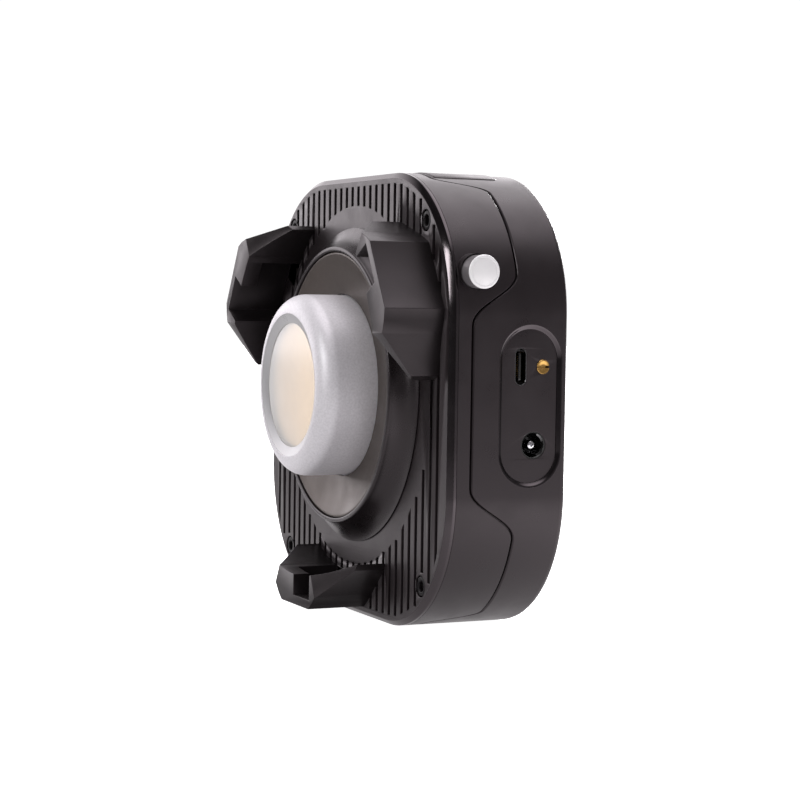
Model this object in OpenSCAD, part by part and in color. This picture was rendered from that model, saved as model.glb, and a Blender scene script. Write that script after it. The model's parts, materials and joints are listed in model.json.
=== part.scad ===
// Compact COB studio light with a pop-up three-claw modifier mount.
// Origin: on the optical axis, in the plane of the front plate's face.
// The light shines towards -Y, +Z is up, and the ports are on the +X side.

/* [Body] */
// Width of the body
body_w = 113; // [110:1:120]
// Height of the body
body_h = 111.8; // [110:0.2:118]
// Depth from the front plate's face to the back
body_d = 31; // [31:0.5:36]
// Corner radius of the body outline
corner_r = 34.5; // [32:0.5:36]
// Height of the body's centre relative to the optical axis
centre_z = -2.7; // [-3:0.1:-2.4]
// Wall thickness of the casing
wall = 2.2; // [2:0.1:2.4]
// Width of the polished bevel around the front plate
bevel = 1.3; // [1:0.1:2]

/* [Front plate] */
// Thickness of the front plate
plate_t = 2; // [2:0.1:2.4]
// Distance from one slot to the next
slot_pitch = 3.71; // [3.5:0.01:4]
// Width of one slot
slot_w = 1.7; // [1.4:0.1:1.9]
// Outer radius of the smooth flange
flange_r = 44.5; // [44:0.1:45]

/* [Lamp] */
// Outer radius of the silver lamp collar
lamp_r = 23; // [22.5:0.1:23.1]
// How far the lamp collar stands in front of the plate
lamp_h = 18.1; // [17:0.1:19]
// Radius of the lit opening
window_r = 15.7; // [15:0.1:16]

/* [Claws] */
// How far the claws stand in front of the plate
claw_h = 15.4; // [15:0.1:15.6]
// Radius of the claws' inner faces
claw_r = 48.4; // [48.2:0.1:48.6]
// Distance of the claws' outer faces from the optical axis
claw_out = 56; // [55.8:0.1:56.2]

/* [Release button] */
// Radius of the button
button_r = 3.96; // [3.5:0.01:4]
// How far the button stands out of the side
button_h = 4.2; // [4:0.1:5]

/* [Hidden] */
$fn = 96;
eps = 0.01;

half_w = body_w / 2;
half_h = body_h / 2;
screw_x = 41.9;
screw_z = 43.7;
seam_gap = 0.3;
seam_back = 18;
seam_front = 5.9;
claw_angles = [30, 150, 270];
post_angles = [90, 210, 330];
post_r = 46.5;
post_rad = 1.5;
running = 0.06;
carrier_y = 2.6;
carrier_t = 2;
rib_y = 26.4;
button_y = 6.4;
button_z = 28.9;
rear_screw_x = 40.4;
rear_screw_z = 42.2;
port_x = half_w - 0.8;
port_y = 21.2;
port_z = -2.6;
port_half_y = 8.2;
port_half_z = 19.1;
port_back = half_w - 2.4;
usb_y = 18.9;
usb_z = 6.7;
jack_y = 22.6;
jack_z = -11.9;
pin_y = 24.8;
dial_x = 31;
dial_z = -38.5;
bush_y = 24;
bush_len = 9.6;
bush_flange = 4.9;
bush_bore = 2.6;
latch_x = 48;
latch_z = 34;
latch_y = 5.2;
latch_pin_r = 0.6;
insert_half_x = 32;
insert_y0 = 6.8;
insert_y1 = 24;
display_z = 35.9;
back_face = body_d;
cover_y = body_d - 2;

// A flat outline in X and Z, given thickness from y0 to y1.
module slab(y0, y1) {
    translate([0, y1, 0]) rotate([90, 0, 0]) linear_extrude(y1 - y0) children();
}

// A cylinder along Y at x, z.
module disc_y(r, y0, y1, x = 0, z = 0) {
    translate([x, y1, z]) rotate([90, 0, 0]) cylinder(h = y1 - y0, r = r);
}

// A cylinder along X at y, z.
module disc_x(r, x0, x1, y, z) {
    translate([x0, y, z]) rotate([0, 90, 0]) cylinder(h = x1 - x0, r = r);
}

// A profile of radius and height in front of the plate, turned about the optical axis.
module turned(points) {
    rotate([90, 0, 0]) rotate_extrude() polygon(points);
}

function arc(cx, cy, r, a0, a1, n) =
    [for (i = [0:n]) [cx + r * cos(a0 + (a1 - a0) * i / n), cy + r * sin(a0 + (a1 - a0) * i / n)]];

// Rounded rectangle outline of the body, drawn smaller by inset.
module outline(inset = 0) {
    hx = half_w - inset;
    hz = half_h - inset;
    r = corner_r - inset;
    translate([0, centre_z]) {
        square([2 * hx, 2 * (hz - r)], center = true);
        square([2 * (hx - r), 2 * hz], center = true);
        for (sx = [-1, 1], sz = [-1, 1])
            translate([sx * (hx - r), sz * (hz - r)]) circle(r);
    }
}

// A body-shaped slab: full size at y_full, smaller by d all round at y_small.
module bevelled(y_small, y_full, d) {
    low = min(y_small, y_full);
    t = abs(y_full - y_small);
    cx = half_w - corner_r;
    cz = half_h - corner_r;
    rear_d = y_small > y_full ? d : 0;
    front_d = d - rear_d;
    translate([0, low + t, centre_z]) rotate([90, 0, 0]) {
        for (sx = [-1, 1], sz = [-1, 1]) translate([sx * cx, sz * cz, 0])
            cylinder(h = t, r1 = corner_r - rear_d, r2 = corner_r - front_d);
        rotate([90, 0, 0]) linear_extrude(2 * cz, center = true)
            polygon([[-half_w + rear_d, 0], [half_w - rear_d, 0], [half_w - front_d, t],
                [-half_w + front_d, t]]);
        rotate([0, -90, 0]) linear_extrude(2 * cx, center = true)
            polygon([[0, -half_h + rear_d], [0, half_h - rear_d], [t, half_h - front_d],
                [t, -half_h + front_d]]);
    }
}

module stadium(half_a, half_b) {
    square([2 * half_a, 2 * (half_b - half_a)], center = true);
    for (s = [-1, 1]) translate([0, s * (half_b - half_a)]) circle(half_a);
}

// A stadium outline in Y and Z, given thickness along X.
module stadium_x(half_y, half_z, x0, x1, y, z) {
    translate([x0, y, z]) rotate([90, 0, 90]) linear_extrude(x1 - x0) stadium(half_y, half_z);
}

// ---- Claws: local x runs along the rim, local y outwards, thickness along Y ----

module place_claw(angle) {
    rotate([0, 90 - angle, 0]) mirror([1, 0, 0]) children();
}

// The claw's outline as seen from the front, grown by g.
module claw_plan(g = 0) {
    difference() {
        polygon([[-21.3 - g, 40], [-21.3 - g, 45.6 + g * 0.4], [-13.5 - g * 0.4, 52 + g],
            [-11.2 - g * 0.4, 54.4 + g], [-9, claw_out + g], [9, claw_out + g],
            [11.2 + g * 0.4, 54.4 + g], [13.9 + g * 0.4, 52 + g], [21.3 + g, 45 + g * 0.4],
            [21.3 + g, 40]]);
        circle(claw_r - g);
    }
}

// The lug enters the claw through the window, then turns under the hook.
window_u0 = -0.9;
window_u1 = 9.6;
pocket_u0 = -8.6;
lug_r = 53.7;
hook_t = 4.4;

// Cuts a sloping flank through the point (u, v) of the claw's front face.
module flank_cut(u, v, tilt, turn) {
    translate([u, -claw_h, v]) rotate([0, tilt, turn]) translate([-20, -20, 0]) cube([40, 40, 20]);
}

module claw_body() {
    difference() {
        slab(-claw_h, carrier_y) claw_plan();
        flank_cut(-10.6, 46.8, 107.7, -126.2);
        flank_cut(10.1, 46.5, 104, -58.4);
        translate([window_u0, -claw_h - 1, 40]) cube([window_u1 - window_u0, claw_h + 1, lug_r - 40]);
        translate([pocket_u0, -claw_h + hook_t, 40])
            cube([window_u1 - pocket_u0, claw_h - hook_t, lug_r - 40]);
        for (u = [-11.6, 11.9]) disc_y(0.8, -3, carrier_y + 1, u, 50);
    }
}

module claw_top_right() {
    color("#3a3638") place_claw(claw_angles[0]) claw_body();
}

module claw_top_left() {
    color("#3a3638") place_claw(claw_angles[1]) claw_body();
}

module claw_bottom() {
    color("#3a3638") place_claw(claw_angles[2]) claw_body();
}

module claw_carrier() {
    color("#55565a") difference() {
        slab(carrier_y, carrier_y + carrier_t) {
            difference() {
                union() {
                    circle(45.2);
                    for (a = post_angles) rotate(a) translate([post_r, 0]) circle(3.6);
                    for (a = claw_angles) rotate(a - 90) translate([-14.4, 40]) square([28.8, 12]);
                }
                circle(42.3);
                for (a = post_angles) rotate(a) translate([post_r, 0]) circle(post_rad + running);
            }
        }
        for (a = claw_angles) place_claw(a)
            for (u = [-11.6, 11.9]) disc_y(0.85, carrier_y - 1, carrier_y + carrier_t + 1, u, 50);
    }
}

module claw_screws() {
    screw_back = carrier_y + carrier_t;
    color("silver") for (a = claw_angles) place_claw(a)
        for (u = [-11.6, 11.9]) difference() {
            union() {
                disc_y(0.8, -2.8, screw_back + eps, u, 50);
                disc_y(1.7, screw_back, screw_back + 1.3, u, 50);
            }
            disc_y(0.7, screw_back + 0.6, screw_back + 2, u, 50);
        }
}

module guide_posts() {
    color("silver") for (a = post_angles) rotate([0, -a, 0])
        disc_y(post_rad, plate_t + 0.1, rib_y + 2, post_r, 0);
}

// A coil spring made of stacked rings joined by short links, along local Z.
module coil(r, wire, length, turns) {
    step = (length - 2 * wire) / turns;
    for (i = [0:turns]) translate([0, 0, wire + i * step])
        rotate_extrude($fn = 40) translate([r, 0]) circle(wire, $fn = 16);
    for (i = [0:turns - 1]) rotate(i * 180) translate([r, 0, wire + i * step])
        cylinder(h = step, r = wire * 0.8, $fn = 16);
}

module carrier_springs() {
    spring_y = carrier_y + carrier_t;
    color("silver") for (a = post_angles) rotate([0, -a, 0])
        translate([post_r, rib_y, 0]) rotate([90, 0, 0]) coil(2.4, 0.35, rib_y - spring_y, 7);
}

// ---- Front plate and lamp ----

module slot_field() {
    edge = 1.2 + bevel;
    intersection() {
        difference() {
            outline(edge);
            circle(flange_r + 1.1);
            for (sx = [-1, 1], sz = [-1, 1])
                translate([sx * screw_x, centre_z + sz * screw_z]) circle(3.2);
        }
        for (i = [0:13], s = [-1, 1]) translate([s * (i + 0.5) * slot_pitch, centre_z])
            square([slot_w, 120], center = true);
    }
}

module front_grille() {
    color("#4a4547") difference() {
        union() {
            bevelled(0, bevel, bevel);
            slab(bevel - eps, plate_t) outline();
        }
        disc_y(40.1, -1, plate_t + 1);
        slab(-1, plate_t + 1) slot_field();
        for (a = claw_angles) place_claw(a) slab(-1, plate_t + 1) claw_plan(0.25);
        for (sx = [-1, 1], sz = [-1, 1]) {
            disc_y(2.7, -1, 1.4, sx * screw_x, centre_z + sz * screw_z);
            disc_y(1.35, -1, plate_t + 1, sx * screw_x, centre_z + sz * screw_z);
        }
    }
}

module socket_screw(head_r, shank_r, y_head, y_tip) {
    difference() {
        union() {
            disc_y(head_r, y_head, y_head + 1.2);
            disc_y(shank_r, y_head, y_tip);
        }
        translate([0, y_head + 0.8, 0]) rotate([90, 0, 0]) cylinder(h = 2, r = head_r * 0.55, $fn = 6);
    }
}

module grille_screws() {
    color("#2b2a2b") for (sx = [-1, 1], sz = [-1, 1])
        translate([sx * screw_x, 0, centre_z + sz * screw_z]) socket_screw(2.4, 1.3, 0.2, 8);
}

module mount_collar() {
    color("#2f2c2e") turned(concat(
        [[30, -2.4], [40, -2.4], [40, 0]],
        arc(40.9, 5.9, 5.6, 261, 180, 10),
        [[34, 5.9], [34, 2], [30, 2]]));
}

module trim_ring() {
    color("#7d7674") turned([[23.25, 2.05], [33.75, 2.05], [33.75, 5.5], [32.9, 5.5], [23.25, 3.4]]);
}

module lamp_collar() {
    round_r = 4.8;
    color("#cfcfd2") turned(concat(
        [[19.6, 0.4], [28, 0.4], [28, 1.95], [lamp_r, 1.95]],
        arc(lamp_r - round_r, lamp_h - round_r, round_r, 0, 90, 12),
        [[18.2, 15.6], [19.6, 15.6]]));
}

module lamp_seal() {
    color("#1c1c1c") turned([[28.2, 0.5], [29.6, 0.5], [29.6, 1.6], [28.2, 1.6]]);
}

module reflector() {
    color("#b9b8bb") turned([[window_r, 16.9], [window_r + 0.5, 16.9], [18.1, 16.9], [18.1, lamp_h - 0.15],
        [window_r, 17.2]]);
}

module front_glass() {
    color("#f3efe6") disc_y(18, -16.85, -15.85);
}

module led_holder() {
    color("white") turned([[15.5, 14.45], [18, 14.45], [18, 15.8], [15.5, 15.8]]);
}

module led_emitter() {
    color("#f2dfb0") disc_y(15.4, -15.3, -14.4);
}

module led_board() {
    color("#d9dadb") slab(-14.4, -13.2) circle(18);
}

module heat_plate() {
    color("#8f9093") difference() {
        union() {
            disc_y(18.4, -13.2, 0.5);
            disc_y(29.5, -0.3, 0.5);
            disc_y(39.4, 2.5, 4);
            disc_y(29.5, 0.4, 3);
        }
        for (a = [45:90:315]) rotate([0, a, 0]) disc_y(1.2, -2, 6, 26.5, 0);
        disc_y(1.15, -14, 6, lead_x, 0);
    }
}

screw_seat = 6.5;

module heat_sink() {
    fin_t = 1.1;
    color("#7c7d80") difference() {
        intersection() {
            disc_y(41, 4, 19.6);
            union() {
                translate([-42, 4, -42]) cube([84, 3, 84]);
                for (i = [-11:11]) translate([i * 3.5 - fin_t / 2, 4, -42]) cube([fin_t, 15.6, 84]);
            }
        }
        for (a = [45:90:315]) rotate([0, a, 0]) {
            disc_y(1.3, 3, 21, 26.5, 0);
            disc_y(3, screw_seat, 21, 26.5, 0);
        }
        disc_y(1.15, 3, 8, lead_x, 0);
    }
}

module sink_screws() {
    color("silver") for (a = [45:90:315]) rotate([0, a, 0]) difference() {
        union() {
            disc_y(1.15, 0.6, screw_seat + 0.2, 26.5, 0);
            disc_y(2.3, screw_seat, screw_seat + 1.6, 26.5, 0);
        }
        disc_y(1, screw_seat + 1, screw_seat + 2, 26.5, 0);
    }
}

// ---- Casing ----

function ease(t) = t * t * t * (t * (6 * t - 15) + 10);

// Where the rear casing steps forward: nearest the front between -start and start.
function cheek_points(start, width) =
    let (edge = [for (i = [0:16]) [start + width * i / 16,
        seam_front + (seam_back - seam_front) * ease(i / 16)]])
    concat([for (i = [0:16]) [-edge[16 - i][0], edge[16 - i][1]]], edge,
        [[start + width, seam_back + 1], [-start - width, seam_back + 1]]);

// The step areas on the four sides, moved forwards by g.
module cheeks(g = 0) {
    translate([0, -g, centre_z]) rotate([0, -90, 0]) linear_extrude(130, center = true)
        polygon(cheek_points(18.4 + g, 14.3));
    translate([0, -g, 0]) linear_extrude(130, center = true) polygon(cheek_points(31.5 + g, 9));
}

module casing_ring(y0, y1) {
    slab(y0, y1) difference() {
        outline();
        outline(wall);
    }
}

module corner_bosses(y0, y1, x, z, hole_r) {
    for (sx = [-1, 1], sz = [-1, 1]) translate([sx * x, 0, centre_z + sz * z])
        difference() {
            disc_y(3.4, y0, y1);
            disc_y(hole_r, y0 - 1, y1 + 1);
        }
}

module corner_webs(y0, y1, x, z) {
    slab(y0, y1) difference() {
        intersection() {
            outline(wall / 2);
            for (sx = [-1, 1], sz = [-1, 1]) translate([sx * x, centre_z + sz * z])
                rotate(sx * sz * 45) translate([sx > 0 ? 0 : -6, -1]) square([6, 2]);
        }
        for (sx = [-1, 1], sz = [-1, 1]) translate([sx * x, centre_z + sz * z]) circle(3);
    }
}

module front_shell() {
    boss_in = floor_x - floor_t;
    color("#4a4648") {
        difference() {
            union() {
                casing_ring(plate_t, seam_back - seam_gap);
                intersection() {
                    disc_x(5.4, boss_in, half_w - 0.5, button_y, button_z);
                    slab(plate_t, 15) outline(0.5);
                }
            }
            cheeks(seam_gap);
            disc_x(button_r + running, floor_x, half_w + 1, button_y, button_z);
            disc_x(1.56, boss_in - 1, half_w, button_y, button_z);
        }
        corner_bosses(plate_t, 10, screw_x, screw_z, 1.3);
        corner_webs(plate_t, 10, screw_x, screw_z);
    }
}

module post_rib(a, length) {
    rotate([0, -a, 0]) slab(rib_y, rib_y + 2) {
        translate([post_r, 0]) circle(3.8);
        translate([post_r, -3.8]) square([length, 7.6]);
    }
}

module rear_shell() {
    color("#4a4648") difference() {
        union() {
            casing_ring(seam_back, body_d - 1.2);
            difference() {
                bevelled(body_d, body_d - 1.2, 0.8);
                slab(body_d - 2, body_d + 1) outline(wall + 0.8);
            }
            intersection() {
                casing_ring(seam_front, seam_back + eps);
                cheeks();
            }
            intersection() {
                slab(rib_y, rib_y + 2) outline(wall / 2);
                union() {
                    post_rib(90, 10);
                    post_rib(210, 22);
                    post_rib(330, 22);
                }
            }
            stadium_x(port_half_y + 1, port_half_z + 1, port_back - 0.6, half_w - wall + eps, port_y, port_z);
            corner_bosses(19, cover_y, rear_screw_x, rear_screw_z, 1.3);
            corner_webs(19, cover_y, rear_screw_x, rear_screw_z);
            intersection() {
                slab(bush_y - 4.8, bush_y + 4.8) difference() {
                    outline(wall / 2);
                    translate([-20, -49]) square([40, 120]);
                }
                translate([-8, 0, -60]) cube([16, 40, 20]);
            }
        }
        for (a = post_angles) rotate([0, -a, 0]) disc_y(post_rad, rib_y - 1, rib_y + 3, post_r, 0);
        stadium_x(port_half_y, port_half_z, port_back, half_w + 1, port_y, port_z);
        stadium_x(port_half_y - 1, port_half_z - 1, half_w - 5, half_w + 1, port_y, port_z);
        translate([0, bush_y, -60]) cylinder(h = 20, r = 4.2);
        translate([-insert_half_x, insert_y0, 40]) cube([2 * insert_half_x, insert_y1 - insert_y0, 20]);
    }
}

module top_insert() {
    top_z = centre_z + half_h;
    vent_pitch = 4;
    color("#3b383a") difference() {
        intersection() {
            slab(insert_y0 + 0.1, insert_y1 - 0.1) difference() {
                outline(-0.3);
                outline(wall);
            }
            translate([-insert_half_x + 0.1, 0, 40]) cube([2 * insert_half_x - 0.2, 40, 20]);
        }
        for (i = [-6:6]) translate([i * vent_pitch - 0.9, insert_y0 + 3, top_z - 6]) cube([1.8, 11.2, 8]);
    }
}

module back_cover() {
    gap = 0.1;
    color("#3f3c3e") difference() {
        slab(cover_y, back_face - 0.3) outline(wall + 0.8 + gap);
        for (i = [-6:6]) {
            h = sqrt(27 * 27 - pow(i * 4, 2));
            translate([i * 4 - 1, cover_y - 1, -h]) cube([2, 5, 2 * h]);
        }
        for (s = [-1, 1]) disc_y(6.7, cover_y - 1, back_face + 1, s * dial_x, dial_z);
        translate([-5.1, cover_y - 1, dial_z - 2.6]) cube([10.2, 5, 5.2]);
        translate([-14, cover_y - 1, display_z - 5]) cube([28, 5, 10]);
        for (sx = [-1, 1], sz = [-1, 1]) {
            disc_y(1.4, cover_y - 1, back_face + 1, sx * rear_screw_x, centre_z + sz * rear_screw_z);
            disc_y(2.5, cover_y + 0.4, back_face + 1, sx * rear_screw_x, centre_z + sz * rear_screw_z);
        }
    }
}

module back_screws() {
    color("#2b2a2b") for (sx = [-1, 1], sz = [-1, 1])
        translate([sx * rear_screw_x, back_face - 0.3, centre_z + sz * rear_screw_z]) rotate([180, 0, 0])
            socket_screw(2.3, 1.3, 0.1, 9);
}

module tripod_bush() {
    bottom_z = centre_z - half_h;
    color("#c8c8c8") difference() {
        union() {
            translate([0, bush_y, bottom_z]) cylinder(h = bush_len + eps, r = 4.2);
            translate([0, bush_y, bottom_z + bush_len]) cylinder(h = 1.2, r = bush_flange);
        }
        translate([0, bush_y, bottom_z - 1]) cylinder(h = bush_len - 0.8, r = bush_bore);
    }
}

// ---- Release button and latch ----

cap_face = half_w + button_h;
cap_t = 0.7;
floor_x = half_w - 3.9;
floor_t = 0.7;
clip_x = floor_x - floor_t - 0.7;

module button_cap() {
    color("#e6e6e8") disc_x(button_r, cap_face - cap_t, cap_face, button_y, button_z);
}

module button_stem() {
    neck = cap_face - cap_t;
    color("#232223") {
        difference() {
            disc_x(button_r - 0.06, half_w - 1.6, neck, button_y, button_z);
            disc_x(3.1, half_w - 3, neck - 0.6, button_y, button_z);
        }
        disc_x(1.5, clip_x, neck - 0.5, button_y, button_z);
        disc_x(1.8, clip_x, clip_x + 0.6, button_y, button_z);
    }
}

module button_spring() {
    color("silver") translate([floor_x, button_y, button_z]) rotate([0, 90, 0])
        coil(2.3, 0.3, cap_face - cap_t - 0.6 - floor_x, 5);
}

module bar(x0, z0, x1, z1, w) {
    translate([x0, z0]) rotate(atan2(z1 - z0, x1 - x0)) translate([0, -w / 2])
        square([norm([x1 - x0, z1 - z0]), w]);
}

// The lever's lower arm rests against the stem, its upper tooth against the claw's flank.
module latch_lever() {
    nose_r = 0.6;
    nose_x = clip_x - nose_r - 0.1;
    nose_z = button_z + 0.7;
    tooth_x = latch_x - 2.9;
    tooth_z = latch_z + 1.9;
    color("#8a8b8e") slab(latch_y, latch_y + 2.2) difference() {
        union() {
            translate([latch_x, latch_z]) circle(1.6);
            translate([nose_x, nose_z]) circle(nose_r);
            translate([tooth_x, tooth_z]) circle(nose_r);
            bar(latch_x, latch_z, nose_x, nose_z, 2 * nose_r);
            bar(latch_x, latch_z, tooth_x, tooth_z, 2 * nose_r);
        }
        translate([latch_x, latch_z]) circle(latch_pin_r + running);
    }
}

module latch_pin() {
    color("silver") {
        disc_y(latch_pin_r, plate_t, latch_y + 3, latch_x, latch_z);
        disc_y(1.2, latch_y + 2.4, latch_y + 3, latch_x, latch_z);
    }
}

// ---- Fan ----

fan_y = 20;
fan_half = 30;
fan_hole = 26.25;
rotor_r = 26.5;

module fan_frame() {
    color("#1f1f20") difference() {
        union() {
            slab(fan_y, fan_y + 8) difference() {
                square(2 * fan_half, center = true);
                circle(rotor_r + 1.2);
                for (sx = [-1, 1], sz = [-1, 1]) translate([sx * fan_hole, sz * fan_hole]) circle(1.4);
            }
            slab(fan_y + 6.8, fan_y + 8) {
                circle(9);
                for (a = [45:90:315]) rotate(a) translate([0, -1.2]) square([rotor_r + 3, 2.4]);
            }
        }
        disc_y(1.5, fan_y, fan_y + 9);
    }
}

module fan_rotor() {
    color("#2a2a2b") difference() {
        union() {
            disc_y(10, fan_y + 0.5, fan_y + 6.4);
            intersection() {
                difference() {
                    disc_y(rotor_r, fan_y + 0.5, fan_y + 6.2);
                    disc_y(8, fan_y, fan_y + 7);
                }
                union() {
                    for (i = [0:8]) rotate([0, i * 40, 0]) translate([18, fan_y + 3.4, 0])
                        rotate([40, 0, 0]) cube([22, 1, 9], center = true);
                }
            }
        }
        disc_y(1.5 + running, fan_y, fan_y + 7);
    }
}

module fan_shaft() {
    color("silver") disc_y(1.5, fan_y + 0.7, fan_y + 7.9);
}

module fan_screws() {
    color("silver") for (sx = [-1, 1], sz = [-1, 1]) {
        disc_y(1.15, fan_y - 8, fan_y + 8.1, sx * fan_hole, sz * fan_hole);
        disc_y(2.6, fan_y + 8, fan_y + 8.8, sx * fan_hole, sz * fan_hole);
    }
}

// ---- Electronics ----

board_x = -52;

module driver_board() {
    color("#1d5a36") translate([board_x, 26.9, -18]) cube([20, 1.5, 48]);
}

module driver_parts() {
    color("#2d2d30") {
        translate([board_x + 3.5, 21, -16]) cube([14, 5.9, 14]);
        for (z = [5, 14]) disc_y(3.8, 21.4, 26.9, board_x + 7, z);
        for (z = [3, 9, 15]) translate([board_x + 13.5, 24.8, z - 2]) cube([4, 2.1, 4]);
        translate([board_x + 4, 23.5, 21]) cube([9, 3.4, 7]);
    }
}

module port_plate() {
    color("#474345") difference() {
        stadium_x(port_half_y - 0.1, port_half_z - 0.1, port_back, port_x, port_y, port_z);
        stadium_x(1.65, 4.55, half_w - 3, half_w, usb_y, usb_z);
        disc_x(3.3, half_w - 3, half_w, jack_y, jack_z);
        disc_x(1.5, half_w - 3, half_w, pin_y, usb_z);
    }
}

module usb_shell() {
    back = half_w - 8;
    color("silver") difference() {
        stadium_x(1.63, 4.5, back, port_x - 0.1, usb_y, usb_z);
        stadium_x(1.3, 4.17, back + 1, half_w, usb_y, usb_z);
    }
}

module usb_tongue() {
    color("#1a1a1a") translate([half_w - 7, usb_y - 0.35, usb_z - 3.3]) cube([5.5, 0.7, 6.6]);
}

module contact_pin() {
    color("#c9a24a") difference() {
        union() {
            disc_x(1.45, half_w - 4, port_x, pin_y, usb_z);
            disc_x(1.7, port_x, port_x + 0.25, pin_y, usb_z);
        }
        translate([port_x - 0.3, pin_y - 1.7, usb_z - 0.2]) cube([1, 3.4, 0.4]);
    }
}

module jack_body() {
    color("#151515") difference() {
        union() {
            disc_x(3.25, half_w - 2.5, port_x - 0.2, jack_y, jack_z);
            disc_x(3.7, half_w - 11, half_w - 2.45, jack_y, jack_z);
        }
        disc_x(2.85, half_w - 10, half_w, jack_y, jack_z);
    }
}

module jack_pin() {
    color("silver") disc_x(1, half_w - 10, port_x - 1, jack_y, jack_z);
}

module jack_springs() {
    color("silver") intersection() {
        difference() {
            disc_x(2.8, half_w - 9.5, port_x - 1.2, jack_y, jack_z);
            disc_x(2.45, half_w - 10, half_w, jack_y, jack_z);
        }
        union() {
            translate([half_w - 10, jack_y + 0.6, jack_z + 0.4]) cube([10, 3, 3]);
            translate([half_w - 10, jack_y + 0.6, jack_z - 3.4]) cube([10, 3, 3]);
            translate([half_w - 10, jack_y - 3.6, jack_z - 1.2]) cube([10, 1.6, 2.4]);
        }
    }
}

module control_board() {
    color("#1d5a36") translate([-36.8, 21.9, -46.5]) cube([73.6, 1.4, 14]);
}

module encoder_bodies() {
    color("#4d5054") for (s = [-1, 1]) difference() {
        translate([s * dial_x - 5.5, 23.3, dial_z - 5.5]) cube([11, 4.2, 11]);
        disc_y(1.5 + running, 23.45, 28, s * dial_x, dial_z);
    }
}

// The plunger under a dial's shaft, which works the push switch.
module encoder_plunger(x) {
    disc_y(1.4, 24, 24.5, x, dial_z);
}

module encoder_shaft(x) {
    disc_y(1.5, 24.6, back_face - 0.1, x, dial_z);
}

module dial(x) {
    difference() {
        union() {
            disc_y(6.3, back_face - 0.8, back_face + 3.2, x, dial_z);
            for (i = [0:23]) translate([x, 0, dial_z]) rotate([0, i * 15, 0])
                translate([6.1, back_face + 0.3, -0.3]) cube([0.4, 2.4, 0.6]);
        }
        disc_y(1.5, back_face - 2, back_face, x, dial_z);
    }
}

module brightness_plunger() {
    color("#d8d2c0") encoder_plunger(-dial_x);
}

module brightness_shaft() {
    color("silver") encoder_shaft(-dial_x);
}

module brightness_dial() {
    color("#262526") dial(-dial_x);
}

module colour_plunger() {
    color("#d8d2c0") encoder_plunger(dial_x);
}

module colour_shaft() {
    color("silver") encoder_shaft(dial_x);
}

module colour_dial() {
    color("#262526") dial(dial_x);
}

module mode_button() {
    color("#dcdcdc") translate([-5, 23.9, dial_z - 2.5]) cube([10, back_face + 0.5 - 23.9, 5]);
}

module display_module() {
    color("#202326") translate([-15.5, 26.2, display_z - 5.8]) cube([31, 2.6, 11.6]);
}

module display_window() {
    color("#0c0d10") translate([-13.9, cover_y + 0.1, display_z - 4.9]) cube([27.8, 1.5, 9.8]);
}

// Two leads run from the lamp board through the heat sink, along a fin gap and to the driver board.
lead_x = -15.75;
lead_r = 0.4;

module lead(points) {
    for (i = [0:len(points) - 2]) {
        d = points[i + 1] - points[i];
        turn = abs(d[0]) > 0 ? [0, d[0] > 0 ? 90 : -90, 0] : [abs(d[1]) > 0 ? -90 : d[2] > 0 ? 0 : 180, 0, 0];
        translate(points[i]) rotate(turn) cylinder(h = norm(d), r = lead_r, $fn = 24);
        if (i > 0) translate(points[i]) sphere(lead_r, $fn = 24);
    }
}

module led_wires() {
    color("#b3262a") for (s = [0, 1]) {
        top_z = 33.5 + s * 1.1;
        lane_y = 19.1 - s * 1.1;
        end_x = -33.4 - s * 1.1;
        lead([[lead_x, -13.2, s - 0.5], [lead_x, lane_y, s - 0.5], [lead_x, lane_y, top_z],
            [lead_x, 24, top_z], [end_x, 24, top_z], [end_x, 24, 29.4], [end_x, 26.9, 29.4]]);
    }
}

front_grille();
grille_screws();
mount_collar();
trim_ring();
lamp_collar();
lamp_seal();
reflector();
front_glass();
led_holder();
led_emitter();
led_board();
heat_plate();
heat_sink();
sink_screws();
claw_top_right();
claw_top_left();
claw_bottom();
claw_carrier();
claw_screws();
guide_posts();
carrier_springs();
front_shell();
rear_shell();
top_insert();
button_cap();
button_stem();
button_spring();
latch_lever();
latch_pin();
fan_frame();
fan_rotor();
fan_shaft();
fan_screws();
driver_board();
driver_parts();
port_plate();
usb_shell();
usb_tongue();
contact_pin();
jack_body();
jack_pin();
jack_springs();
control_board();
encoder_bodies();
brightness_plunger();
brightness_shaft();
brightness_dial();
colour_plunger();
colour_shaft();
colour_dial();
mode_button();
display_module();
display_window();
back_cover();
back_screws();
tripod_bush();
led_wires();
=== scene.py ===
"""Looks of a compact studio light with a pop-up three-claw mount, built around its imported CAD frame."""
import json
import math

import bmesh
import bpy
from mathutils import Matrix, Vector


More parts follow.
